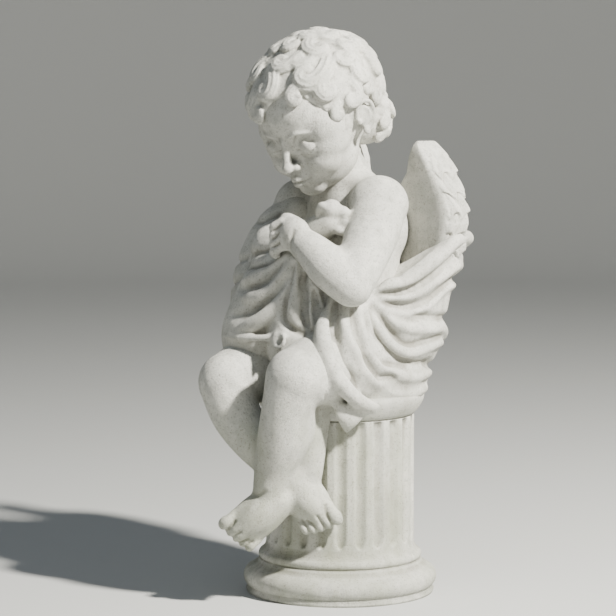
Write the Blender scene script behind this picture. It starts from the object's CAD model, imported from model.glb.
import math

import bpy
import numpy as np
from mathutils import Matrix


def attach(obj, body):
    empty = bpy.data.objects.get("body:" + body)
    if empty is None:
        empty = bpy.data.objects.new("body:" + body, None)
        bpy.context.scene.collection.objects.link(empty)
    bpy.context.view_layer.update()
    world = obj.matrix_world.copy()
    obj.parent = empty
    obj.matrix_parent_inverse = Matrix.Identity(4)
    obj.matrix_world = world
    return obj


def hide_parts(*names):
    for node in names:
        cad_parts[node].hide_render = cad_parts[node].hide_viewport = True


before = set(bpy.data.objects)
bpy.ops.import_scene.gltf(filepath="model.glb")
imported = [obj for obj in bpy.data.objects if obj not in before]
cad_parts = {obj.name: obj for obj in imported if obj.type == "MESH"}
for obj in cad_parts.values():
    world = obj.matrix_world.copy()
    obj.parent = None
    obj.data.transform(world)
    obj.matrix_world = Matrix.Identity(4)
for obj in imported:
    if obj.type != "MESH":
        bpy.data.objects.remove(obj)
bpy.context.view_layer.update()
print("frame loaded")

# The figure is shaped in shares: a share is a hundredth of the child's sitting height, counted from the
# middle of the seat. The face and the hair are shaped in millimetres, counted from the middle of the head.
figure = {
    "seatTop": 0.285,
    "share": 0.00515,
    "grainCoarse": 1.0,
}


# turns degrees about x, then y, then z into one 3 x 3 matrix
def turnMatrix(degrees):
    a, b, c = np.radians(degrees)
    aboutX = np.array([[1, 0, 0], [0, math.cos(a), -math.sin(a)], [0, math.sin(a), math.cos(a)]])
    aboutY = np.array([[math.cos(b), 0, math.sin(b)], [0, 1, 0], [-math.sin(b), 0, math.cos(b)]])
    aboutZ = np.array([[math.cos(c), -math.sin(c), 0], [math.sin(c), math.cos(c), 0], [0, 0, 1]])
    return aboutZ @ aboutY @ aboutX


def unit(vectors):
    return vectors / np.maximum(np.linalg.norm(vectors, axis=-1, keepdims=True), 1e-12)


# 0 below low, 1 above high, and the cubic 3t2 - 2t3 between them
def ease(value, low, high):
    share = np.clip((value - low) / (high - low), 0, 1)
    return share * share * (3 - 2 * share)


# a cubic through every knot, whose slope at a knot is half the step between its two neighbours
def smoothPath(knots, count):
    knots = np.asarray(knots, float)
    if knots.ndim == 1:
        knots = knots[:, None]
    ends = np.vstack([2 * knots[0] - knots[1], knots, 2 * knots[-1] - knots[-2]])
    place = np.linspace(0, len(knots) - 1 - 1e-9, count)
    i = place.astype(int)
    t = (place - i)[:, None]
    a, b, c, d = ends[i], ends[i + 1], ends[i + 2], ends[i + 3]
    return 0.5 * (2 * b + (c - a) * t + (2 * a - 5 * b + 4 * c - d) * t ** 2 + (3 * b - a - 3 * c + d)
                  * t ** 3)


# a grid of rings x points a ring becomes quads that close round each ring, and a point closes each end
def closedGrid(grid):
    rings, around = grid.shape[:2]
    low = np.arange(rings - 1)[:, None] * around
    here, follow = np.arange(around), (np.arange(around) + 1) % around
    quads = np.stack([low + here, low + follow, low + around + follow, low + around + here], -1).reshape(-1,
            4)
    points = np.vstack([grid.reshape(-1, 3), grid[0].mean(0), grid[-1].mean(0)])
    start, end, top = len(points) - 2, len(points) - 1, (rings - 1) * around
    first = np.stack([follow, here, np.full(around, start), np.full(around, start)], -1)
    last = np.stack([top + here, top + follow, np.full(around, end), np.full(around, end)], -1)
    return points, np.vstack([quads, first, last])


# an egg: x, y, z = radii times (cos v cos u, cos v sin u, sin v), turned, then set at its centre
def egg(centre, radii, turn=(0, 0, 0), around=28, along=17):
    v = np.radians(np.linspace(-84, 84, along))[:, None]
    u = np.linspace(0, math.tau, around, endpoint=False)[None, :]
    ball = np.stack([np.cos(v) * np.cos(u), np.cos(v) * np.sin(u), np.sin(v) + 0 * u], -1)
    return closedGrid((ball * np.asarray(radii, float)) @ turnMatrix(turn).T + np.asarray(centre, float))


# an oval of the path's radius carried along it; flat thins it along facing, and the ends are round
def limb(knots, radii, flat=1.0, facing=None, along=26, around=18, ribs=0.0, ribCount=6):
    path, radius = smoothPath(knots, along), smoothPath(radii, along)[:, 0]
    way = unit(np.gradient(path, axis=0))
    cap = np.radians([82.0, 62.0, 40.0, 20.0])
    before = path[0] - way[0] * (radius[0] * np.sin(cap))[:, None] * min(1.0, flat)
    after = path[-1] + way[-1] * (radius[-1] * np.sin(cap[::-1]))[:, None] * min(1.0, flat)
    path = np.vstack([before, path, after])
    way = np.vstack([np.tile(way[0], (4, 1)), way, np.tile(way[-1], (4, 1))])
    radius = np.concatenate([radius[0] * np.cos(cap), radius, radius[-1] * np.cos(cap[::-1])])
    if facing is None:
        mean = np.abs(way).mean(0)
        facing = np.eye(3)[int(np.argmin(mean))]
    facing = np.asarray(facing, float)
    if facing.ndim == 2:
        facing = np.vstack([np.tile(facing[0], (4, 1)), smoothPath(facing, along),
                            np.tile(facing[-1], (4, 1))])
    outward = unit(facing - (way * facing).sum(-1, keepdims=True) * way)
    across = np.cross(way, outward)
    u = np.linspace(0, math.tau, around, endpoint=False)
    swell = (1 + ribs * np.cos(ribCount * u))[None, :, None] * radius[:, None, None]
    ring = across[:, None, :] * np.cos(u)[None, :, None] + outward[:, None, :] * (flat * np.sin(u))[None, :,
            None]
    return closedGrid((path[:, None, :] + ring * swell)[:, ::-1])


def together(shells):
    points, faces, count = [], [], 0
    for shellPoints, shellFaces in shells:
        points.append(shellPoints)
        faces.append(shellFaces + count)
        count += len(shellPoints)
    return np.vstack(points), np.vstack(faces)


# a face row that names its last point twice is a triangle
def meshFrom(name, points, faces):
    faces = np.asarray(faces)
    isTriangle = faces[:, 2] == faces[:, 3]
    sizes = np.where(isTriangle, 3, 4)
    keep = np.ones(faces.shape, bool)
    keep[isTriangle, 3] = False
    mesh = bpy.data.meshes.new(name)
    mesh.vertices.add(len(points))
    mesh.vertices.foreach_set("co", np.asarray(points, np.float32).ravel())
    mesh.loops.add(int(sizes.sum()))
    mesh.loops.foreach_set("vertex_index", faces[keep].astype(np.int32))
    mesh.polygons.add(len(faces))
    mesh.polygons.foreach_set("loop_start", np.concatenate([[0], np.cumsum(sizes)[:-1]]).astype(np.int32))
    mesh.polygons.foreach_set("loop_total", sizes.astype(np.int32))
    mesh.polygons.foreach_set("use_smooth", np.full(len(faces), True))
    mesh.update(calc_edges=True)
    return mesh


def edgesOf(faces):
    sides = np.vstack([faces[:, [0, 1]], faces[:, [1, 2]], faces[:, [2, 3]], faces[:, [3, 0]]])
    sides = np.sort(sides[sides[:, 0] != sides[:, 1]], axis=1)
    return np.unique(sides, axis=0)


# the mean of every point's neighbours
def neighbourMeans(points, edges, degree):
    sums = np.empty_like(points)
    for k in range(3):
        sums[:, k] = (np.bincount(edges[:, 0], points[edges[:, 1], k], len(points))
                      + np.bincount(edges[:, 1], points[edges[:, 0], k], len(points)))
    return sums / degree[:, None]


# the outward way at a point is the sum of its faces' diagonal cross products
def outwardWays(points, faces):
    cross = np.cross(points[faces[:, 2]] - points[faces[:, 0]], points[faces[:, 3]] - points[faces[:, 1]])
    sums = np.zeros_like(points)
    for corner in range(4):
        for k in range(3):
            sums[:, k] += np.bincount(faces[:, corner], cross[:, k], len(points))
    return unit(sums)


# only the largest of the separate shells is kept: every point takes the lowest number that reaches it
def outerShell(points, faces):
    edges = edgesOf(faces)
    label = np.arange(len(points))
    while True:
        low = np.minimum(label[edges[:, 0]], label[edges[:, 1]])
        following = label.copy()
        np.minimum.at(following, edges[:, 0], low)
        np.minimum.at(following, edges[:, 1], low)
        following = following[following]
        if (following == label).all():
            break
        label = following
    names, counts = np.unique(label, return_counts=True)
    kept = label == names[np.argmax(counts)]
    number = np.cumsum(kept) - 1
    return points[kept], number[faces[kept[faces[:, 0]]]]


# overlapping closed shapes fused into one skin of even grain
def fused(shells, grain):
    points, faces = together(shells)
    rough = bpy.data.objects.new("rough", meshFrom("rough", points, faces))
    bpy.context.scene.collection.objects.link(rough)
    fuse = rough.modifiers.new("Fuse", "REMESH")
    fuse.mode = "VOXEL"
    fuse.voxel_size = grain * figure["grainCoarse"]
    skin = rough.evaluated_get(bpy.context.evaluated_depsgraph_get()).to_mesh()
    points = np.empty(len(skin.vertices) * 3, np.float32)
    skin.vertices.foreach_get("co", points)
    corners = np.empty(len(skin.loops), np.int32)
    skin.loops.foreach_get("vertex_index", corners)
    faces = corners.reshape(-1, 4)
    bpy.data.objects.remove(rough, do_unlink=True)
    return outerShell(points.reshape(-1, 3).astype(float), faces)


# clay pressed into the joins: a point that lies inside of its neighbours' mean moves out to it,
# and soften passes then even out every point
def pressed(skin, fill, soften=2):
    points, faces = skin
    edges = edgesOf(faces)
    degree = np.bincount(edges.ravel(), minlength=len(points)).astype(float)
    for step in range(fill):
        if step % 4 == 0:
            ways = outwardWays(points, faces)
        pull = neighbourMeans(points, edges, degree) - points
        rise = (pull * ways).sum(-1)
        points = points + ways * np.maximum(rise, 0)[:, None] * 0.95 + (pull - ways * rise[:, None]) * 0.3
    for step in range(soften):
        points = points + 0.5 * (neighbourMeans(points, edges, degree) - points)
    return points, faces


# a stroke of the modelling tool: its path is set down on the nearest points of the skin, and points within
# reach move along their outward way by height times exp(-(distance / width) squared); lean adds the same
# curve times the signed distance over the width, which raises one side of the path and lowers the other, as
# the edge of a fold does, and taper fades it over the first and last fifth of the path
def stroke(skin, knots, width, height, lean=0.0, count=26, taper=True):
    points, faces = skin
    path = smoothPath(knots, count)
    reach = 7 * width
    near = np.flatnonzero(((points > path.min(0) - reach) & (points < path.max(0) + reach)).all(1))
    if not len(near):
        return skin
    local = points[near]
    ways = outwardWays(points, faces)[near]
    path = local[[np.argmin(((local - spot) ** 2).sum(1)) for spot in path]]
    for step in range(3):
        path[1:-1] = (path[:-2] + 2 * path[1:-1] + path[2:]) / 4
    best, where, sided = np.full(len(near), 1e9), np.zeros(len(near)), np.zeros(len(near))
    for i in range(count - 1):
        step = path[i + 1] - path[i]
        share = np.clip(((local - path[i]) @ step) / max(step @ step, 1e-9), 0, 1)
        away = local - path[i] - share[:, None] * step
        gap = np.linalg.norm(away, axis=1)
        nearer = gap < best
        best[nearer] = gap[nearer]
        where[nearer] = (i + share[nearer]) / (count - 1)
        if lean:
            across = np.cross(step, ways[nearer])
            sided[nearer] = (across * away[nearer]).sum(1) / max(np.linalg.norm(step), 1e-9)
    amount = (height + lean * sided / width) * np.exp(-(best / width) ** 2)
    if taper:
        amount = amount * np.sqrt(np.clip(np.minimum(where, 1 - where) * 5, 0.0, 1))
    points = points.copy()
    points[near] += ways * amount[:, None]
    return points, faces


# shares to metres in the row's frame
def inFrame(points):
    return np.asarray(points) * figure["share"] + np.array([0, 0, figure["seatTop"]])


# how far a point lies below the skin that 14 evening passes leave, in millimetres, so that dirt can gather
# there
def hollows(points, faces):
    edges = edgesOf(faces)
    degree = np.maximum(np.bincount(edges.ravel(), minlength=len(points)), 1).astype(float)
    even = points
    for step in range(14):
        even = 0.3 * even + 0.7 * neighbourMeans(even, edges, degree)
    return ((even - points) * outwardWays(points, faces)).sum(1) * 1000


def addPiece(name, points, faces, material):
    piece = bpy.data.objects.new(name, meshFrom(name, points, faces))
    bpy.context.scene.collection.objects.link(piece)
    piece.data.materials.append(material)
    deep = piece.data.attributes.new("hollow", "FLOAT", "POINT")
    deep.data.foreach_set("value", hollows(np.asarray(points, float), np.asarray(faces)).astype(np.float32))
    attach(piece, "root")
    triangles = int(2 * len(faces) - (faces[:, 2] == faces[:, 3]).sum())
    print(f"{name}: {triangles} triangles")
    return piece


# Trunk and arms

trunk = {
    # middle y, height, half width, half depth of level ovals up the trunk
    "ovals": [(5, -1, 17, 15), (4, 8, 17.5, 15.5), (2, 18, 16, 16), (1.6, 28, 15.4, 15),
              (2.6, 37, 15.6, 13.5), (3.2, 45, 15.6, 12), (3, 51.5, 14, 10), (1.8, 56.5, 10, 8.2)],
    "grain": 0.465,
}


def levelOvals(rows, around=40, along=40):
    rows = smoothPath(rows, along)
    u = np.linspace(0, math.tau, around, endpoint=False)
    middle = np.stack([0 * rows[:, 0], rows[:, 0], rows[:, 1]], -1)
    ring = np.stack([rows[:, 2:3] * np.cos(u), rows[:, 3:4] * np.sin(u), 0 * u + 0 * rows[:, :1]], -1)
    return closedGrid(middle[:, None, :] + ring)


def fingers(root, step, reach, curl, size):
    made = []
    for i in range(4):
        start = np.array(root) + np.array(step) * i
        middle = start + np.array(reach) * (1 - 0.05 * abs(i - 1.2))
        made.append(limb([start - np.array(reach) * 0.4, start, middle, middle + np.array(curl)],
                         [size, size * 1.02, size, size * 0.86], along=14, around=12))
    return made


def trunkShells():
    shells = [levelOvals(trunk["ovals"])]
    shells.append(limb([(0.5, 4, 50), (0.3, 0.6, 60), (-0.4, -3.5, 69)], [9, 7.6, 8.2]))
    for side in (-1, 1):
        shells += [egg((side * 8.6, 9.5, 46), (7.6, 5.6, 9.6), (0, 0, side * -18)),
                   limb([(side * 2, 2.5, 59), (side * 8, 2, 57), (side * 14, 1, 54)], [5.5, 5, 5]),
                   egg((side * 7.5, -7, 42), (7.6, 4.2, 6), (0, 0, side * 16))]
    # left arm
    shells += [egg((15.8, 0.2, 53.2), (8.2, 8.2, 8)),
               limb([(16, 0, 53), (18.6, -4, 47), (21.2, -10.2, 39.5), (22.6, -15.4, 32.6)],
                    [7.6, 7.4, 6.7, 5.9]),
               limb([(22.8, -15.6, 32.2), (18.6, -19.2, 36.8), (13.6, -21.2, 41.2), (8.8, -22.2, 44.2)],
                    [5.7, 6, 5, 4])]
    # right arm
    shells += [egg((-15.6, -0.6, 51.6), (8, 8, 7.8)),
               limb([(-15.8, -1, 51.4), (-18.4, -4, 43), (-18, -8.5, 32.5)], [7.4, 7.2, 6.2]),
               limb([(-18, -9, 32.5), (-9, -14.5, 37), (1.5, -14.4, 43.5)], [6.2, 5.8, 4.4])]
    return shells


def handShells():
    left = [egg((7.6, -22.8, 45.6), (4.8, 3.6, 4.8), (0, 30, 12)),
            egg((4.8, -23.6, 45.2), (3.4, 2.6, 4.4), (0, 20, 0))]
    left += fingers((3.8, -24.8, 48.4), (-0.1, 0.1, -2.15), (-1.9, -0.8, -1.3), (-0.6, 2.2, -1.5), 1.35)
    left.append(limb([(7.2, -22.2, 48.8), (4.6, -23, 49.8), (2, -22.4, 49.2)], [1.8, 1.6, 1.2]))
    right = [limb([(1.5, -14.2, 43.5), (6.6, -13.8, 46.4), (10.6, -12.8, 48.8)], [4.4, 4, 3.6])]
    for middle, radii in (((12, -13.4, 52.2), (2.9, 2.7, 2.8)), ((13.8, -11.2, 51.4), (2.2, 2.1, 1.8)),
                          ((14.2, -10.4, 48.9), (2.1, 2.1, 1.6)), ((13.6, -11.6, 46.6), (1.9, 2, 1.5))):
        right.append(egg(middle, radii))
    right.append(limb([(9, -14, 48.8), (9.4, -15.4, 51.6), (10.8, -15.8, 53.2), (12.4, -15.4, 52.6)],
                      [1.5, 1.3, 1.2, 0.9]))
    return left + right


def makeTrunk(material):
    skin = pressed(fused(trunkShells(), 0.55), 22, 3)
    skin = pressed(fused([skin] + handShells(), trunk["grain"]), 3, 1)
    # spine, shoulder blades, armpit fold, bend of the elbow, wrist and knuckles
    skin = stroke(skin, [(0, 16, 22), (0, 15.5, 36), (0, 13, 50), (0, 9, 58)], 2, -0.9)
    for side in (-1, 1):
        skin = stroke(skin, [(side * 4.4, 14.5, 38), (side * 6, 15.5, 45), (side * 10, 13, 52)], 1.6, -0.5)
    skin = stroke(skin, [(14, -7, 50), (14.4, -5, 44), (13.8, -2, 38)], 1.2, -0.9)
    skin = stroke(skin, [(17, -12.5, 37.8), (18.2, -14, 36.8), (20.6, -14.6, 36.2)], 0.7, -0.7)
    skin = stroke(skin, [(10.2, -24.6, 47.2), (9.8, -25.6, 44.2), (8.8, -24.6, 41)], 0.6, -0.45)
    for i in range(3):
        between = np.array((3.8, -24.8, 47.3)) + np.array((-0.1, 0.1, -2.15)) * i
        skin = stroke(skin, [between + (1.6, 0.2, 1.0), between, between + (-2.0, -0.8, -1.2)], 0.4, -0.6,
                      count=14)
    skin = stroke(skin, [(9.6, -16.4, 53.6), (8.4, -15.6, 52), (8.6, -15, 50)], 0.5, -0.7, count=14)
    points, faces = skin
    return addPiece("trunk_and_arms", inFrame(points), faces, material)


# Legs and feet

legs = {
    "grain": 0.435,
    "leftThigh": ([(8.5, 3, 8.5), (11.5, -10, 9.6), (14.2, -20, 9.4), (15.8, -28, 8.2)],
                  [11.5, 11.2, 9.8, 8.4]),
    "leftShin": ([(15.6, -29.4, 7.6), (14, -30.6, 0), (11.4, -30.2, -9), (8.2, -30.4, -17),
                  (6.6, -30.6, -23)], [8, 6.9, 6.8, 5.4, 4.7]),
    "rightThigh": ([(-8.5, 3, 7), (-9.6, -12, 8.4), (-9.4, -24, 7.4), (-8.3, -33, 5.2)], [11.5, 11, 9.4, 8]),
    "rightShin": ([(-8, -34, 4.6), (-4.6, -33, -4), (1.4, -29.6, -12), (8.4, -25.6, -19)],
                  [7.6, 6.8, 6.2, 4.8]),
    # heel, ball, the way the top faces, the way the big toe lies, length of the big toe, width
    "feet": [((7.4, -28.9, -26.2), (1.9, -36.8, -34), (0.78, -0.6, 0.09), (-0.46, -0.48, 0.75), 3.1, 1),
             ((9.9, -22.6, -23.2), (13.6, -20.2, -29.8), (0.72, -0.69, 0.13), (0.52, 0.65, 0.56), 4.9, 0.95)],
    # half width, place from the middle of the foot towards its inner side, share of the big toe's length
    "toes": [(1.85, 4, 1), (1.36, 1.15, 1.02), (1.3, -1.15, 0.94), (1.24, -3.25, 0.82), (1.15, -5.1, 0.66)],
}


# a foot from heel to ball: up is the way its top faces, inner the way its big toe lies
def footShells(heel, ball, up, inner, length, width):
    heel, ball = np.array(heel, float), np.array(ball, float)
    way, up = unit(ball - heel), unit(np.array(up, float))
    inner = unit(np.array(inner, float) - (np.array(inner, float) @ way) * way)
    up = unit(np.cross(way, inner)) * np.sign(np.cross(way, inner) @ up)
    shells = [egg(heel, (4.6, 4.6, 4.6))]
    shells.append(limb([heel + up * 0.8, (heel + ball) / 2 + up * 1.2, ball + up * 0.1], [4.4, 4.7, 3.6]))
    for share in (-1.0, -0.35, 0.35, 1.0):
        spread = inner * share * 3.6 * width
        knots = [heel + spread * 0.5, (heel + ball) / 2 + spread * 0.8, ball + spread * 0.9 - up * 0.6]
        shells.append(limb(knots, [3.4, 3.0, 2.3], along=14, around=14))
    toes, gaps, last = [], [], None
    for size, side, share in legs["toes"]:
        reach = length * share
        root = ball + inner * (side * width) - way * 0.6 - up * 0.2
        knots = [root - way * 1.5, root + way * reach * 0.45 + up * 1.0, root + way * reach * 0.8 + up * 0.6,
                 root + way * reach - up * 0.3]
        toes.append(limb(knots, [size * 0.9, size * 0.9, size * 1.1, size], along=14, around=14))
        spine = np.array([root + way * 0.2 + up * size, root + way * reach * 0.6 + up * size * 1.1,
                          root + way * (reach + size) - up * 0.4])
        if last is not None:
            gaps.append((spine + last) / 2)
        last = spine
    return shells, toes, gaps


def makeLegs(material):
    shells = [limb(*legs[name], along=34, around=28)
              for name in ("leftThigh", "leftShin", "rightThigh", "rightShin")]
    shells += [egg((15.9, -29.6, 8), (8.2, 7.6, 8.2)), egg((-8.2, -34, 5), (7.9, 7.4, 8)),
               limb([(13.2, -27.4, -1), (11.6, -27.2, -8), (9.4, -28.2, -15)], [5.6, 6, 4.6]),
               limb([(11, -18, 4), (11.4, -20, -8), (11.2, -21, -19)], [5.2, 4.6, 4])]
    toes, gaps = [], []
    for foot in legs["feet"]:
        sole, footToes, footGaps = footShells(*foot)
        shells += sole
        toes += footToes
        gaps += footGaps
    skin = pressed(fused(shells, 0.5), 16, 3)
    skin = pressed(fused([skin] + toes, legs["grain"]), 1, 1)
    for gap in gaps:
        skin = stroke(skin, gap, 0.4, -0.6, count=14, taper=False)
    # crease behind the knee, ankle folds, shin edge
    skin = stroke(skin, [(22, -24.5, 4.2), (21.5, -22.5, 2), (20.5, -21, 0.2)], 0.7, -0.6)
    skin = stroke(skin, [(9.8, -34.6, -22.4), (7.4, -35.4, -24.2), (3.4, -34.2, -25)], 0.9, -0.45)
    points, faces = skin
    return addPiece("legs_and_feet", inFrame(points), faces, material)


# Head

head = {
    "middle": (-1.0, -6.4, 76.6),  # in shares
    "bow": 29.0,  # degrees
    "lean": -3.0,
    "turn": 6.0,
    "grain": 1.54,  # millimetres
    # strokes of the left half, each with its knots, width and height
    "strokes": [
        # hollow beside the nose, crease over the upper lid, the lid's edge, the slit below it, lower lid, bag
        ([(11, -82, 2), (12.5, -79, -5), (15, -77, -11)], 5, -1.8),
        ([(12.5, -80, 2), (20, -82, 8.6), (30, -82, 10.4), (40, -77, 7.6), (47.5, -70, 0.5)], 2, -2.4),
        ([(13.5, -80, -6.4), (21, -82, -9.6), (30, -82, -10.8), (39, -77, -9), (46.5, -70, -4.6)], 1.7, 1.3),
        ([(13, -79, -8), (21, -81.5, -11.8), (30, -81.5, -13.2), (39, -77, -11.2), (47, -70, -6)], 1.6, -2.7),
        ([(15, -79, -11), (22, -80.5, -14.8), (30, -80.5, -16.2), (39, -76, -14), (45, -70, -9.5)], 1.8, 1.1),
        ([(15, -78, -15), (22, -79, -20), (31, -78, -21.5), (40, -73, -18)], 3, -1),
        # wing of the nose, nostril, fold from nose to mouth, corner of the mouth
        ([(11, -90, -22.5), (15.2, -85, -25.5), (16.2, -82, -31), (13, -82, -36)], 1.7, -1.2),
        ([(3.4, -94, -35), (6.8, -91, -35.6)], 2.2, -2.6),
        ([(16.5, -82, -34), (20.5, -78, -41), (22.5, -76, -47)], 3.6, -0.9),
        ([(15.6, -80, -52), (18.4, -78, -51.6)], 2.6, -1.9)],
}


# head millimetres to shares
def onHead(points):
    turned = np.asarray(points) @ turnMatrix((head["bow"], head["lean"], head["turn"])).T
    return turned / (1000 * figure["share"]) + np.array(head["middle"])


# skull, brow, muzzle, chin, and the child's round cheeks and temples
def faceShells():
    shells = [egg((0, 14, 24), (80, 95, 84), around=48, along=33),
              egg((0, -36, 32), (63, 50, 48), around=40, along=25),
              egg((0, -27, -40), (58, 55, 50), around=40, along=25), egg((0, -63, -71), (24, 17, 17)),
              egg((0, -72, -50), (24, 17, 20)), egg((0, -68, -2), (26, 15, 22))]
    for side in (-1, 1):
        shells += [egg((side * 31, -51, -34), (30, 28, 27), around=36, along=23),
                   egg((side * 39, -40, -14), (31, 34, 30), around=36, along=23),
                   egg((side * 46, -36, 8), (27, 34, 34), around=36, along=23)]
    return shells


# nose, wings of the nose, eyes behind their lids, brows and lips
def featureShells():
    shells = [limb([(0, -81, 8), (0, -84.5, -5), (0, -90, -18), (0, -93.5, -26)], [6, 5.8, 6.4, 7.2],
                   around=20)]
    shells.append(egg((0, -94, -27.5), (9.4, 9, 8)))
    for side in (-1, 1):
        shells += [egg((side * 9.4, -86.5, -30), (6.2, 7.6, 5.4), (0, 0, side * 22)),
                   egg((side * 29.5, -67, -5), (17, 14.2, 12.6), (0, 0, side * -18), around=32, along=21),
                   limb([(side * 12, -81.5, 14), (side * 28, -80.5, 19), (side * 45, -69, 15)], [2.6, 3, 2])]
    upperLip = [(-15.5, -80, -52), (-8.5, -86.5, -50.2), (-3, -89.6, -49.2), (0, -89.2, -50),
                (3, -89.6, -49.2), (8.5, -86.5, -50.2), (15.5, -80, -52)]
    shells.append(limb(upperLip, [1.2, 2.8, 3.5, 3.2, 3.5, 2.8, 1.2], along=40))
    lowerLip = [(-11.5, -82.5, -55), (-5.5, -87, -57.2), (0, -88.4, -57.8), (5.5, -87, -57.2),
                (11.5, -82.5, -55)]
    shells.append(limb(lowerLip, [1.6, 3.8, 4.5, 3.8, 1.6], along=34))
    return shells


# knots of the left side, or their mirror image
def sided(knots, side):
    return np.array(knots) * (side, 1, 1)


def earShells(side):
    rim = [(77, -9, 0), (82, -5, 13), (87, 5, 20), (90, 15, 13), (88.5, 16.5, -3), (84.5, 10, -15),
           (79, 2, -22)]
    fold = [(84, 6, 12), (86, 10, 4), (85, 9, -7), (81.5, 2.5, -12)]
    return [egg((side * 79.5, 4.5, -1), (4.4, 12.5, 19), (0, 0, side * -22)),
            limb(sided(rim, side), [2.6, 3, 3.2, 3.2, 3, 2.9, 3.6], along=34),
            limb(sided(fold, side), [1.8, 2.2, 2.4, 2]), egg((side * 79, 0, -22), (4.4, 6.4, 7.4)),
            egg((side * 79.5, -8, -6), (3.4, 3.4, 4.6))]


def makeHead(material):
    # the face is fused in head millimetres, so that its strokes can be placed in them
    skin = pressed(fused(faceShells(), 2.0), 30, 4)
    skin = pressed(fused([skin] + featureShells() + earShells(-1) + earShells(1), head["grain"]), 6, 2)
    for side in (-1, 1):
        for knots, width, height in head["strokes"]:
            dent = len(knots) == 2  # a dent is short and isn't tapered
            skin = stroke(skin, sided(knots, side), width, height, count=6 if dent else 26, taper=not dent)
    # line between the lips, groove over them and hollow under them
    skin = stroke(skin, [(-16, -80, -52.4), (-8.5, -87, -53.4), (-3, -90, -53), (0, -90.4, -53.6),
                         (3, -90, -53), (8.5, -87, -53.4), (16, -80, -52.4)], 1.5, -2.6, count=44)
    skin = stroke(skin, [(0, -90, -38), (0, -90, -46)], 2.2, -0.9, count=8)
    skin = stroke(skin, [(-10, -84, -63.5), (0, -86, -64.5), (10, -84, -63.5)], 3.6, -1.5)
    points, faces = pressed(skin, 0, 1)
    points = onHead(points)
    return addPiece("head", inFrame(points), faces, material)


# Hair

hair = {
    "middle": np.array([-5.0, 14.0, 32.0]),
    "radii": np.array([92.0, 101.0, 83.0]),
    "crown": np.array([0.1, 0.55, 0.83]),
    "length": 158.0,  # of a lock of size 1, in millimetres
    "width": 10.4,  # half of it
    "turns": 1.2,
    "napeMiddle": np.array([38.0, 41.0, -22.0]),  # the mass behind each ear
    "napeRadii": np.array([41.0, 44.0, 44.0]),
    "nape": [(62, 10), (84, -14), (112, 14), (104, -44), (136, -16), (160, 16), (168, -36), (66, -40),
             (190, -8)],
    "tried": 120,  # places tried round the head for the other locks
    "grain": 1.62,
    # longitude, and the lowest latitude of the hair there: over the brow, temple and ear and down the nape
    "line": [(-180, -66), (-140, -58), (-112, -30), (-98, -2), (-84, -4), (-70, -14), (-56, -14), (-34, 6),
             (-8, 10), (4, 24), (20, 30), (34, 24), (42, 14), (50, 2), (58, -18), (66, -16), (78, -6),
             (92, -2), (104, -30), (140, -58), (180, -66)],
    # longitude from the middle of the forehead and latitude of a curl's eye, size, spin, swing
    "named": [(46, 40, 1.25, 1, 0.5), (60, 18, 1, -1, 0.2), (84, 58, 1, -1, -0.3), (-4, 36, 1.05, 1, -0.4),
              (-14, 14, 0.95, -1, 0.2), (8, 62, 1, 1, 0.6), (-36, 22, 1, 1, 0.3), (-40, 48, 1.1, -1, 0.2),
              (76, -1, 0.85, 1, -0.2), (60, -8, 0.6, -1, 0.3), (57, -24, 0.5, 1, 0.2),
              (98, 12, 0.95, -1, 0.3), (104, -16, 0.85, 1, 0.4), (94, 36, 1.05, 1, -0.3),
              (30, 24, 0.8, -1, 0.7), (120, 6, 0.95, 1, -0.4)],
}


# straight steps between the hair's lowest latitudes
def hairLine(longitude):
    return np.interp(longitude, *np.array(hair["line"]).T)


# a ball whose radii are 0.975 of the hair's above the hair line, and ease to 0.84 of them below it
def hairCap(around=90, along=61):
    lat = np.linspace(-86, 88, along)[:, None]
    lon = np.linspace(-180, 180, around, endpoint=False)[None, :]
    share = 0.84 + 0.135 * ease(lat - hairLine(lon), -8, 7)
    v, u = np.radians(lat), np.radians(lon)
    ball = np.stack([np.cos(v) * np.sin(u), -np.cos(v) * np.cos(u), np.sin(v) + 0 * u], -1)
    return closedGrid(hair["middle"] + ball * share[..., None] * hair["radii"])


# a lock runs down from the crown and winds into a curl: its heading is the turns times t to the 2.1, less a
# sine that bends its root the other way, and its steps shorten; the ribs are a cosine of the angle round the
# section
def lockShell(longitude, latitude, size, spin, swing, middle=hair["middle"], radii=hair["radii"]):
    lon, lat = math.radians(longitude), math.radians(latitude)
    out = np.array([math.cos(lat) * math.sin(lon), -math.cos(lat) * math.cos(lon), math.sin(lat)])
    side = np.array([math.cos(lon), math.sin(lon), 0.0])
    rise = np.cross(side, out)
    t = np.linspace(0, 1, 60)
    heading = spin * (math.tau * hair["turns"] * t ** 2.1 - 1.1 * np.sin(math.pi * t))
    step = hair["length"] * size / 60 * (1 - 0.58 * t)
    flat = np.cumsum(np.stack([np.cos(heading) * step, np.sin(heading) * step], -1), axis=0)
    flat = flat - flat[-1]
    down = -hair["crown"] + (hair["crown"] @ out) * out
    aim = math.atan2(down @ rise, down @ side) + swing - math.atan2(-flat[0, 1], -flat[0, 0])
    x = flat[:, 0] * math.cos(aim) - flat[:, 1] * math.sin(aim)
    y = flat[:, 0] * math.sin(aim) + flat[:, 1] * math.cos(aim)
    ways = unit(out * radii.mean() + x[:, None] * side + y[:, None] * rise)
    height = -9.0 * (1 - t) ** 2.5 + 2.6 * np.sin(math.pi * t ** 1.3) - 0.5
    path = middle + ways * (radii + height[:, None])
    width = hair["width"] * size * np.interp(t, [0, 0.14, 0.35, 0.55, 0.75, 1],
            [0.5, 0.95, 1.05, 0.92, 0.66, 0.36])
    return limb(path, width, flat=0.62, facing=ways, along=64, around=36, ribs=0.15, ribCount=9)


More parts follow.
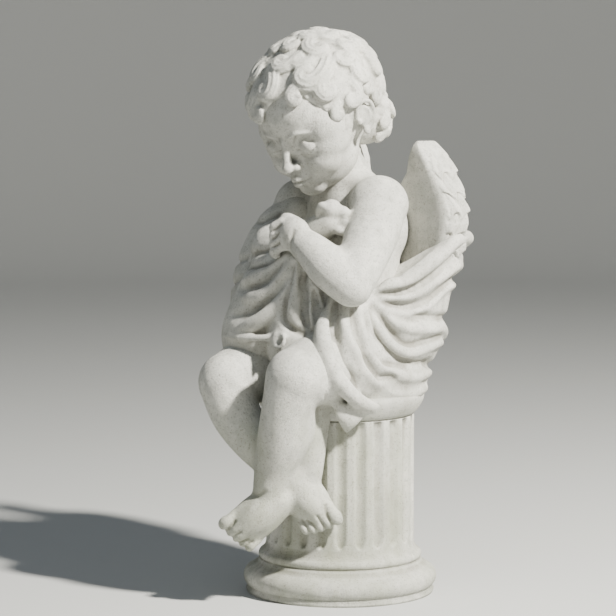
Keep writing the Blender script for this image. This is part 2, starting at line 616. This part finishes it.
def makeHair(material):
    golden = math.pi * (3 - math.sqrt(5))
    shells = [hairCap()]
    for side in (-1, 1):
        shells.append(egg(hair["napeMiddle"] * np.array([side, 1, 1]), hair["napeRadii"] - 3, around=40,
                          along=25))
    places = list(hair["named"])
    for i in range(hair["tried"]):
        latitude = math.degrees(math.asin(1 - 2 * (i + 0.5) / hair["tried"]))
        longitude = (math.degrees(i * golden + 0.4) + 180) % 360 - 180
        crowded = any(math.hypot((longitude - a) * math.cos(math.radians(latitude)), latitude - b) < 14 * c
                      for a, b, c, *rest in hair["named"])
        if crowded or latitude < hairLine(longitude) + 3:
            continue
        spin = 1 if math.sin(i * 2.4) > 0 else -1
        places.append((longitude, latitude, 0.90 + 0.14 * math.sin(i * 3.1), spin, 0.8 * math.sin(i * 7.3)))
    for place in places:
        shells.append(lockShell(*place))
    for side in (-1, 1):
        for i, (longitude, latitude) in enumerate(hair["nape"]):
            shells.append(lockShell(side * longitude, latitude, 0.66, side if i % 2 else -side,
                    0.6 * math.sin(i * 5.0), hair["napeMiddle"] * np.array([side, 1, 1]), hair["napeRadii"]))
    points, faces = pressed(fused(shells, hair["grain"]), 1, 1)
    return addPiece("hair", inFrame(onHead(points)), faces, material)


# Cloth

cloth = {
    "grain": 0.48,
    "sunk": -0.5,  # how far the folds' middles lie under the plain surface
    # the masses of the lap and of the right arm's cover: knots, half widths, points round each
    "masses": [
        ([(-3, -14.5, 41), (-6, -17, 32), (-8, -19.6, 25), (-9.4, -21.6, 17.5), (-10, -21.6, 12)],
         [6.8, 9.2, 9.6, 10.2, 9.2], 32),
        ([(3, -15.6, 42.5), (3, -17.4, 32), (3.8, -18.8, 24), (5, -20, 15)], [6.2, 7.6, 8.2, 8.2], 30),
        ([(9, -12, 34), (8.6, -13.5, 27), (8.5, -15.5, 18)], [4.2, 5, 5.8], 26),
        ([(8.5, 2, 8.5), (10.6, -6, 9), (13, -12, 9.4), (14.8, -17, 9.6), (15.8, -20.5, 9.4)],
         [13, 12.4, 11.7, 10.7, 9.4], 36),
        ([(14.6, -9.5, 28), (16, -12.5, 21), (16.4, -14, 14)], [5.2, 6.6, 8.8], 30),
        ([(-8.5, 2, 7), (-9.2, -8, 8), (-9.6, -16, 8)], [13, 12.4, 11], 36),
        ([(-13, -4, 49), (-17.6, -6, 44), (-18.8, -9, 36), (-17, -13, 28), (-13, -17, 21)],
         [6.4, 8.2, 9.4, 9.6, 9], 30),
        ([(-14, -9, 42), (-9, -15, 40), (-2, -16.5, 41.5)], [7.4, 7.4, 5.4], 28)],
    # folds round the hips, each a list of (angle from the child's left side, height) with its width and
    # height; angle 90 is the middle of the back, where the fold meets its twin from the other side
    "rolls": [
        ([(-20, 29.5), (-8, 31.6), (4, 32.4), (15, 35.6), (25, 39.6), (33, 43.2), (52, 43), (70, 39.5),
          (90, 37.5)], 1.9),
        ([(-17, 28.2), (0, 28), (15, 29.6), (28, 33), (42, 36), (60, 34), (90, 30.5)], 1.5),
        ([(-14, 26.2), (4, 23.6), (20, 25), (36, 29.6), (50, 29.8), (90, 24)], 1.2),
        ([(-16, 25), (0, 20.6), (20, 19), (42, 18.2), (60, 15), (90, 12)], 1.7),
        ([(-20, 22), (-10, 16), (6, 12.4), (24, 13.2), (44, 14.2), (90, 6)], 1.2),
        ([(-10, 9), (4, 6.2), (22, 5.6), (40, 6.2), (90, 1.5)], 1.5),
        ([(-12, 3.6), (0, 1.6), (20, 1), (40, 2), (90, -1.2)], 1.3)],
    "creases": [
        [(-21, 28.6), (-8, 29.6), (6, 30), (19, 32.3), (30, 36.8), (42, 40), (66, 37), (90, 34)],
        [(-18, 27.4), (-6, 26.2), (5, 25.9), (19, 26.2), (32, 29.4), (46, 32.4), (90, 27.4)],
        [(-22, 27), (-14, 22.4), (-5, 18), (6, 14.8), (22, 15.4), (40, 16.4)],
        [(-25, 26), (-20, 19.8), (-9, 14.6), (2, 11), (20, 9.4), (40, 10)],
        [(8, 23.4), (24, 22), (38, 21.4), (54, 20.4), (90, 17)],
        [(26, 9), (40, 8), (60, 7), (90, 5)]],
    # folds over the outside of the left thigh: knots, width, height
    "thighFolds": [
        ([(19.8, -9.6, 27), (21.8, -6.5, 21), (23.6, -1.5, 15.4), (23.6, 8, 12.4)], 1.5, 0.9),
        ([(18.4, -11.4, 26.5), (21.4, -12, 20), (24.6, -9.5, 13.5), (24.6, -2, 8.8), (23.2, 7, 6.4)], 1.5, 1),
        ([(17, -13.4, 26.4), (20.8, -16.2, 19.5), (25.4, -15, 12.4), (25.6, -9.5, 6.6), (24.2, -1.5, 3)], 1.6,
         1.1),
        ([(19.6, -9.6, 25), (22.2, -8.5, 17.8), (24.2, -4, 12), (23.4, 6, 9.2)], 1, -1.2),
        ([(17.8, -12.4, 25.8), (21.2, -14.2, 19.8), (25.2, -12.3, 13), (25.2, -6, 7.6), (23.6, 0.5, 5)], 1,
         -1.4),
        ([(15.8, -15.6, 27.4), (18.8, -19.2, 21), (23.8, -20.2, 13.2), (25.6, -16.5, 7.4), (25.6, -11.5, 3),
          (24.6, -5, 0.6)], 1.1, -1.8)],
    # folds that run down from the left hand over the lap: knots, half width at the top, middle and foot
    "lapRidges": [
        ([(7.9, -22.4, 39), (8.2, -23.3, 34.6), (8.6, -24, 30.4), (9.2, -24.2, 25.4), (10, -23.6, 21.8)],
         [0.7, 0.9, 1.5, 2.3, 2.2]),
        ([(10.6, -20.6, 31), (11.2, -20.6, 28), (12.6, -20.8, 24.4), (13.8, -21, 21.6)],
         [0.5, 1.1, 1.6, 1.3]),
        ([(9.8, -20.4, 36), (10.8, -19, 32), (12.3, -18.2, 29), (15, -19.4, 24.4), (17.2, -20.6, 20.6)],
         [0.7, 1, 1.2, 1.2, 1]),
        ([(7.6, -21.6, 38.4), (7.4, -23.4, 33), (4.8, -24.6, 28.6), (2.2, -27.2, 24.6), (-2.8, -29.2, 21),
          (-8, -30.4, 18.6)], [0.9, 1.6, 2.2, 2.3, 2.2, 1.4]),
        ([(6.6, -21.8, 39.6), (4.6, -24, 35), (2.2, -25.4, 31), (-0.6, -27, 29), (-5, -27.6, 27.8),
          (-10, -26.6, 26.6)], [1, 1.9, 2.3, 2.3, 2.2, 1.6]),
        ([(4.6, -22.6, 39.4), (-0.6, -24, 35.6), (-5.4, -26, 33), (-10.4, -25.4, 31.6)], [1.1, 2, 2.2, 1.6])],
    "lapCreases": [
        ([(8, -22.8, 38.6), (7.6, -24.6, 32.6), (7.6, -25.2, 27.6), (7, -26, 23.2), (9.6, -25, 20.4),
          (12.4, -22.6, 18.8)], 0.85, -1.3),
        ([(9.6, -21.4, 36.6), (10.2, -21.8, 32), (10.8, -21.8, 28.4), (10.8, -22.2, 24), (12, -22.2, 20.6)],
         0.9, -1.5),
        ([(11.6, -19.8, 31.4), (13, -19.6, 27), (14.4, -20.6, 23), (15.4, -21.2, 20.4)], 0.9, -1.5),
        ([(13.2, -17.4, 31), (15.4, -18.8, 25.4), (18.4, -22, 20)], 0.75, -1.5),
        ([(7.4, -24.2, 35), (4.6, -26.6, 30.6), (0.4, -28.4, 26.6), (-5, -29.6, 23.8), (-11, -29, 22.4)], 1.2,
         -0.9),
        ([(5.2, -23.6, 37), (0.4, -26.4, 32.2), (-5, -27.4, 30.4), (-11, -26, 29.4)], 1.2, -0.9)],
    "sleeveCreases": [
        [(-2, -21.6, 41.8), (-8, -21.5, 40), (-15, -18, 39)],
        [(1, -23.6, 38.4), (-5, -24.6, 36.6), (-13, -22.6, 35)],
        [(-13, -10, 50), (-17, -11, 46.5), (-20, -8, 44)],
        [(-17, -17, 37), (-21, -14, 35), (-23, -9, 34)],
        [(-16, -20, 32), (-20, -17, 29.5), (-22, -12, 29)]],
}


# a point of the cloth round the hips: its distance from the trunk's axis is a plain radius plus a bump on
# each side of the back, which grows with height
def hipPoint(angle, z, lift=0.0):
    angle, z = np.asarray(angle, float), np.asarray(z, float)
    flare = np.exp(-((angle - 50) / 40) ** 2) + np.exp(-((angle - 130) / 40) ** 2)
    radius = 21.6 + flare * np.interp(z, [-2, 2, 8, 14, 20, 30, 38, 46],
            [0.4, 1.2, 2.6, 5.4, 6.4, 8.2, 11.4, 13.6]) + lift
    turn = np.radians(angle)
    return np.stack([radius * np.cos(turn), 1.5 + radius * np.sin(turn), z + 0 * turn], -1)


# height of the cloth's upper edge, from the elbows up to the wings' outer corners and down across the back
def hipEdge(angle):
    away = np.abs(np.abs(angle - 90) - 90) * np.where(np.abs(angle - 90) > 90, -1, 1)
    return np.interp(away, [-90, -34, -12, 0, 14, 25, 34, 52, 70, 90],
                     [26, 29, 31.5, 33.5, 37.5, 41.5, 45.4, 45, 41.5, 39.5])


def hipShell(around=140, along=30):
    angle = np.linspace(0, 360, around, endpoint=False) - 90
    share = np.linspace(0, 1, along)[:, None]
    outer = hipPoint(angle[None, :] + 0 * share, -1.2 + (hipEdge(angle) + 1.2)[None, :] * share)
    rim = outer[-1]
    rows = [outer]
    for shrink, drop in ((0.95, -0.5), (0.89, 0.6), (0.8, 3), (0.6, 7)):
        rows.append((rim * np.array([shrink, shrink, 1]) - np.array([0, 0, drop]))[None])
    return closedGrid(np.concatenate(rows))


# each fold on the child's left, followed by its mirror image on the right
def twins(folds):
    made = []
    for fold in folds:
        angle, z = np.array(fold, float).T
        made += [hipPoint(angle, z, cloth["sunk"]), hipPoint(180 - angle, z, cloth["sunk"])]
    return made


# the bold fold where the cloth meets the lap and thigh, the lip of the hanging corner, the fall below it,
# the hem across the right thigh and the small curl that ends it
def edgeShells():
    shells = [limb([(13.4, -14.6, 30), (15.6, -18.2, 24.6), (18.2, -21.6, 19.6), (21.6, -23.4, 14.2),
                    (23.8, -22, 8.6), (24.4, -17.6, 4), (25, -13, 0.8), (24.6, -9, -0.2)],
                   [1.5, 2.3, 2.6, 2.6, 2.5, 2.4, 2.4, 1.6], along=60)]
    shells.append(limb([(19.4, -21.6, 2.2), (21.4, -17.6, -0.4), (23, -13.8, -1.4), (24.4, -9.6, -1)],
                       [0.7, 1.4, 1.7, 1.6]))
    for start, width in (((20.6, -19.4, 0.8), 1), ((21.6, -17, -0.6), 1.4), ((22.6, -14.6, -1.4), 1.5),
                         ((23.4, -12, -1.4), 1.3)):
        shells.append(limb([start, (np.array(start) + (20.8, -15.8, -7.0)) / 2 + (0.4, -0.4, 0),
                            (20.8, -15.6, -6.8)], [width, width, 0.8]))
    shells.append(limb([(-17.4, -20, 12), (-16.6, -26, 15), (-12.5, -30.2, 17), (-6.5, -31.2, 17.2),
                        (-0.5, -29.8, 17.4), (4, -27.4, 17.8)], [0.9, 1.1, 1.2, 1.1, 1, 1], along=50))
    t = np.linspace(0, 1, 30)
    turn = math.tau * 1.1 * t + 2.6
    curl = np.stack([8.0 + 2.6 * (1 - 0.55 * t) * np.cos(turn), -28.2 + 0.6 * np.sin(turn),
                     17.4 + 2.4 * (1 - 0.55 * t) * np.sin(turn)], -1)
    shells.append(limb(curl, 0.75 * (1 - 0.2 * t), along=34, around=14))
    return shells


def makeCloth(material):
    masses = [limb(knots, widths, around=around) for knots, widths, around in cloth["masses"]]
    rough = pressed(fused([hipShell()] + masses, 0.5), 14, 3)
    ridges = []
    for fold, width in cloth["rolls"]:
        widths = [0.5] + [width] * (len(fold) - 2) + [width * 0.9]
        ridges += [limb(knots, widths, along=44, around=18) for knots in twins([fold])]
    ridges += [limb(knots, widths, along=36, around=16) for knots, widths in cloth["lapRidges"]]
    skin = pressed(fused([rough] + ridges + edgeShells(), cloth["grain"]), 4, 2)
    for knots in twins(cloth["creases"]):
        skin = stroke(skin, knots, 1.15, -1.15, 0.7, count=40)
    for knots, width, height in cloth["thighFolds"] + cloth["lapCreases"]:
        skin = stroke(skin, knots, width, height, 0.3 if height < 0 else 0, count=36)
    for knots in cloth["sleeveCreases"]:
        skin = stroke(skin, knots, 1.1, -1.0, 0.6)
    points, faces = pressed(skin, 0, 1)
    return addPiece("cloth", inFrame(points), faces, material)


# Wings

wing = {
    "bottom": 0.47,  # metres
    "top": 0.646,
    "front": 0.076,  # how far behind the axis its front face is
    "deep": 0.043,
    "relief": 0.0046,
    # heights, and how far out of the middle the outer and the inner side lie there
    "outer": ([0.47, 0.5, 0.53, 0.552, 0.57, 0.59, 0.606, 0.622, 0.634, 0.642, 0.646],
              [0.118, 0.13, 0.137, 0.136, 0.13, 0.118, 0.107, 0.096, 0.086, 0.078, 0.074]),
    "inner": ([0.47, 0.58, 0.6, 0.625, 0.64, 0.646], [0.026, 0.034, 0.052, 0.058, 0.062, 0.066]),
    "rounded": 0.612,  # height from which the top rounds off
    "scallops": 6,  # feathers in a row
    "row": 0.028,  # height of a row of feathers
}


# a stack of level sections, each a rounded rectangle: cosine and sine to the power 0.35, at even steps round
# it, which shrinks in nearly a quarter round at the top; the side and back carry rows of feathers, each a saw
# tooth in height whose steps hang in scallops
def wingGrid(side):
    rows, around = 220, 160
    v = 1 - (1 - np.linspace(0, 1, rows)[:, None]) ** 1.25
    z = wing["bottom"] + (wing["top"] - wing["bottom"]) * v
    outer, inner = np.interp(z, *wing["outer"]), np.interp(z, *wing["inner"])
    fine = np.linspace(0, math.tau, 4001)
    square = np.sign([np.cos(fine), np.sin(fine)]) * np.abs([np.cos(fine), np.sin(fine)]) ** 0.35
    run = np.append(0, np.cumsum(np.hypot(*np.diff(square * [[0.04], [0.0215]], axis=1))))
    way = np.arange(around) / around
    squareC = np.interp(way * run[-1], run, square[0])[None, :]
    squareS = np.interp(way * run[-1], run, square[1])[None, :]
    rounding = ((z - wing["rounded"]) / (wing["top"] - wing["rounded"])).clip(0, 1)
    top = np.sqrt(np.clip(1 - rounding ** 2.4, 0, 1))
    width = (outer - inner) / 2
    depth = wing["deep"] / 2 * (0.42 + 0.58 * top)
    x = (outer + inner) / 2 + width * squareC * (0.35 + 0.65 * top) + 0.010 * (squareS + 1) / 2
    y = wing["front"] + wing["deep"] * 0.46 + depth * squareS
    # 0 at the front outer corner to 1 at the back inner corner, and 1 on the inner side and the front
    along = np.clip(((way + 0.087) % 1) / 0.5, 0, 1)[None, :]
    carved = ease(along, 0.02, 0.08) * (1 - ease(along, 0.9, 1.0)) * ease(wing["top"] - z, 0.004, 0.03)
    scallop = np.abs(np.sin(math.pi * (along * wing["scallops"] + 0.45 * np.sin(11 * v))))
    tooth = ((wing["top"] - z) / wing["row"] + 0.42 * scallop) % 1.0
    quill = np.exp(-((scallop - 1) / 0.05) ** 2) * 0.25
    relief = wing["relief"] * carved * (tooth ** 0.8 * (1 - ease(tooth, 0.9, 1.0))
            * (0.45 + 0.55 * scallop ** 0.7) + quill - 0.25)
    x, y = x + relief * squareC, y + relief * squareS
    grid = np.stack([side * x, y, z + 0 * x], -1)
    return grid if side > 0 else grid[:, ::-1]


def makeWing(side, name, material):
    points, faces = closedGrid(wingGrid(side))
    return addPiece(name, points, faces, material)


# Column

column = {
    "flutes": 24,
    "fluteShare": 0.62,  # of each division, the rest is the flat fillet
    "fluteDepth": 0.0046,
    "shaftRadius": 0.1063,
    "perFlute": 14,
    "baseRadius": 0.1388,
    "shaftBottom": 0.0735,
    "shaftTop": 0.256,
    "footEdge": 0.013,  # height over the shaft's bottom at which a flute's edges start
    "footRound": 0.011,  # how much lower its middle starts
    "footRun": 0.003,  # height in which it reaches its depth
    "lowerRoll": (0.0225, 0.0155),  # height of its middle, half of its own height
    "upperRoll": (0.0545, 0.0066),
    # radius and height: the hollow between the rolls, and the flare up to the shaft
    "hollow": [(0.1268, 0.0385), (0.1225, 0.0405), (0.119, 0.0435), (0.1172, 0.047)],
    "flare": [(0.1118, 0.0618), (0.1092, 0.0645), (0.1074, 0.068), (0.1066, 0.0715)],
    # radius, and height over the top of the shaft: the groove and the seat above it
    "seat": [(0.1055, 0), (0.1034, 0.001), (0.104, 0.0026), (0.1072, 0.0034), (0.1105, 0.007), (0.115, 0.013),
             (0.1188, 0.02), (0.1206, 0.027), (0.12, 0.0315), (0.116, 0.0335), (0.1, 0.034)],
}


def arc(radius, middle, half, first, last, count):
    angle = np.radians(np.linspace(first, last, count))
    return [(radius - half + half * math.cos(a), middle + half * math.sin(a)) for a in angle]


# a ring at every height of the profile; between the two ends of the shaft a flute is cut in as a sine of its
# share of the division to the power 0.75, and it runs out in a round at its foot
def makeColumn(material):
    low, high = column["shaftBottom"], column["shaftTop"]
    rim = column["baseRadius"]
    profile = [(rim - 0.005, 0), (rim - 0.0035, 0.004)] + arc(rim, *column["lowerRoll"], -58, 66, 12)
    profile += column["hollow"]
    profile += arc(column["hollow"][-1][0], *column["upperRoll"], -60, 72, 9) + column["flare"]
    rows = np.concatenate([np.linspace(low, low + 0.016, 12), np.linspace(low + 0.02, high - 0.001, 16)])
    profile += [(column["shaftRadius"], z) for z in rows]
    profile += [(radius, high + over) for radius, over in column["seat"]]
    radius, z = np.array(profile).T
    division = (np.arange(column["flutes"] * column["perFlute"]) / column["perFlute"]) % 1.0
    angle = np.arange(len(division)) * math.tau / len(division)
    share = np.clip(division / column["fluteShare"], 0, 1)
    foot = np.sin(math.pi * share) * column["footRound"]
    inShaft = ((z >= low - 1e-6) & (z < high))[:, None]
    over = z[:, None] - (low + column["footEdge"]) + foot[None, :]
    deep = np.clip(over / column["footRun"], 0, 1) * inShaft
    cut = column["fluteDepth"] * np.sin(math.pi * share)[None, :] ** 0.75 * deep
    ring = radius[:, None] - cut
    grid = np.stack([ring * np.cos(angle), ring * np.sin(angle), z[:, None] + 0 * ring], -1)
    points, faces = closedGrid(grid)
    return addPiece("column", points, faces, material)


# Cast concrete: a pale warm grey that clouds over in two sizes, is darker where dirt gathers in the hollows
# and in faint runs, greener towards the seat and specked with pin holes, with its grain as bump
finish = {
    "pale": (0.6, 0.595, 0.55, 1),
    "grey": (0.34, 0.345, 0.315, 1),
    "dirt": (0.16, 0.15, 0.12, 1),
    "moss": (0.27, 0.29, 0.2, 1),
    "roughness": 0.9,
    "bump": 0.0032,  # metres
}


def concrete(name):
    material = bpy.data.materials.new(name)
    material.use_nodes = True
    nodes, links = material.node_tree.nodes, material.node_tree.links
    shader = nodes["Principled BSDF"]
    shader.inputs["Roughness"].default_value = finish["roughness"]
    shader.inputs["Specular IOR Level"].default_value = 0.25
    place = nodes.new("ShaderNodeTexCoord").outputs["Object"]

    # a node whose inputs take values or are linked; result is the number of the output that is used
    def add(kind, inputs, result=0, **settings):
        node = nodes.new("ShaderNode" + kind)
        for setting, value in settings.items():
            setattr(node, setting, value)
        for socket, value in inputs.items():
            if isinstance(value, bpy.types.NodeSocket):
                links.new(value, node.inputs[socket])
            else:
                node.inputs[socket].default_value = value
        return node.outputs[result]

    def noise(scale, detail, rough=0.55, squash=1.0):
        spot = add("Mapping", {"Vector": place, "Scale": (1, 1, squash)})
        return add("TexNoise", {"Vector": spot, "Scale": scale, "Detail": detail, "Roughness": rough})

    def ramp(value, low, high, most=1.0):
        return add("MapRange", {"Value": value, "From Min": low, "From Max": high, "To Max": most})

    def times(first, second):
        return add("Math", {0: first, 1: second}, operation="MULTIPLY")

    # the Mix node's colours are its inputs 6 and 7 and its output 2
    def mix(share, first, second):
        return add("Mix", {0: share, 6: first, 7: second}, 2, data_type="RGBA")

    hollow = nodes.new("ShaderNodeAttribute")
    hollow.attribute_name = "hollow"
    deep = ramp(hollow.outputs["Fac"], 0.1, 1.3, 0.62)
    low = ramp(add("SeparateXYZ", {"Vector": place}, "Z"), 0.31, 0.24, 0.55)
    # broad clouds, fine clouds, runs, dirt in the hollows, green low down, specks
    colour = mix(ramp(noise(9, 6, 0.62), 0.36, 0.66, 0.62), finish["pale"], finish["grey"])
    colour = mix(ramp(noise(70, 7, 0.75), 0.44, 0.64, 0.6), colour, finish["grey"])
    colour = mix(ramp(noise(30, 4, 0.6, 0.12), 0.52, 0.76, 0.34), colour, finish["dirt"])
    colour = mix(times(deep, ramp(noise(24, 4), 0.28, 0.6)), colour, finish["dirt"])
    colour = mix(times(low, ramp(noise(18, 5, 0.6, 0.3), 0.34, 0.66)), colour, finish["moss"])
    colour = mix(ramp(noise(380, 3), 0.56, 0.68, 0.5), colour, finish["dirt"])
    links.new(colour, shader.inputs["Base Color"])
    bump = add("Bump", {"Strength": 0.6, "Distance": finish["bump"], "Height": noise(360, 8, 0.75)})
    links.new(bump, shader.inputs["Normal"])
    return material


# Camera, floor and light

view = {
    "azimuth": 50.0,  # degrees round the statue, from its front
    "distance": 3.8,
    "height": 0.77,
    "down": 5.45,  # degrees
    "aside": -0.046,  # metres along the picture
    "sensor": 36.0,  # millimetres
    "pixels": 2670.0,  # focal length in pixels
    "wide": 616,  # width of the picture in pixels
}

stage = {
    "flat": 5.2,  # metres out to where the floor turns up
    "bend": 2.2,
    "wall": 6.0,
    "lampAim": 0.4,  # height that the lamps look at
    "paint": (0.46, 0.47, 0.46, 1),
    "air": (0.66, 0.76, 0.9, 1),
    "airStrength": 0.15,
}

# azimuth and elevation in degrees, distance and size in metres, watts, colour
lamps = {
    "sun": (98, 40, 3.4, 0.26, 560, (1.0, 0.96, 0.88)),
    "sky": (15, 58, 3.5, 3.0, 26, (0.8, 0.89, 1.0)),
}


# the right, up and back ways of a thing that looks in from an azimuth and an elevation, in degrees
def waysFrom(azimuth, elevation):
    a, e = math.radians(azimuth), math.radians(elevation)
    right = np.array([math.cos(a), math.sin(a), 0])
    back = np.array([math.sin(a) * math.cos(e), -math.cos(a) * math.cos(e), math.sin(e)])
    return right, np.cross(back, right), back


def aimed(name, data, ways, spot):
    thing = bpy.data.objects.new(name, data)
    thing.matrix_world = Matrix([[*row, at] for row, at in zip(np.transpose(ways), spot)] + [[0, 0, 0, 1]])
    bpy.context.scene.collection.objects.link(thing)
    return thing


def addCamera():
    ways = waysFrom(view["azimuth"], view["down"])
    toward = waysFrom(view["azimuth"], 0)[2]
    data = bpy.data.cameras.new("camera")
    data.sensor_width = view["sensor"]
    data.lens = view["sensor"] * view["pixels"] / view["wide"]
    spot = toward * view["distance"] + ways[0] * view["aside"] + np.array([0, 0, view["height"]])
    bpy.context.scene.camera = aimed("camera", data, ways, spot)


# a floor that turns up into a wall all round: a profile turned about the middle
def addStage():
    flat, bend, wall = stage["flat"], stage["bend"], stage["wall"]
    turn = np.radians(np.linspace(0, 90, 13))
    radius = np.concatenate([[0.02], np.linspace(0.6, flat, 8), flat + bend * np.sin(turn[1:]),
                             [flat + bend]])
    z = np.concatenate([np.zeros(9), bend * (1 - np.cos(turn[1:])), [wall]])
    angle = np.linspace(0, math.tau, 96, endpoint=False)
    grid = np.stack([radius[:, None] * np.cos(angle), radius[:, None] * np.sin(angle),
                     z[:, None] + 0 * angle], -1)
    points, faces = closedGrid(grid[:, ::-1])
    # the last faces would close the wall overhead
    floor = bpy.data.objects.new("floor", meshFrom("floor", points, faces[:-len(angle)]))
    bpy.context.scene.collection.objects.link(floor)
    paint = bpy.data.materials.new("floor paint")
    paint.use_nodes = True
    shader = paint.node_tree.nodes["Principled BSDF"]
    shader.inputs["Base Color"].default_value = stage["paint"]
    shader.inputs["Roughness"].default_value = 0.95
    floor.data.materials.append(paint)
    world = bpy.data.worlds.new("world")
    world.use_nodes = True
    air = world.node_tree.nodes["Background"]
    air.inputs["Color"].default_value = stage["air"]
    air.inputs["Strength"].default_value = stage["airStrength"]
    bpy.context.scene.world = world


def addLight(name, azimuth, elevation, distance, size, watts, colour):
    data = bpy.data.lights.new(name, "AREA")
    data.shape = "DISK"
    data.size = size
    data.energy = watts
    data.color = colour
    ways = waysFrom(azimuth, elevation)
    aimed(name, data, ways, ways[2] * distance + np.array([0, 0, stage["lampAim"]]))


casting = concrete("cast concrete")
pieces = [makeColumn(casting)]
print("column made")
pieces.append(makeTrunk(casting))
pieces.append(makeLegs(casting))
print("body made")
pieces.append(makeHead(casting))
pieces.append(makeHair(casting))
print("head made")
pieces.append(makeCloth(casting))
pieces.append(makeWing(1, "left_wing", casting))
pieces.append(makeWing(-1, "right_wing", casting))
print("cloth and wings made")
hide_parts("angel_statue")

addCamera()
addStage()
for name, values in lamps.items():
    addLight(name, *values)
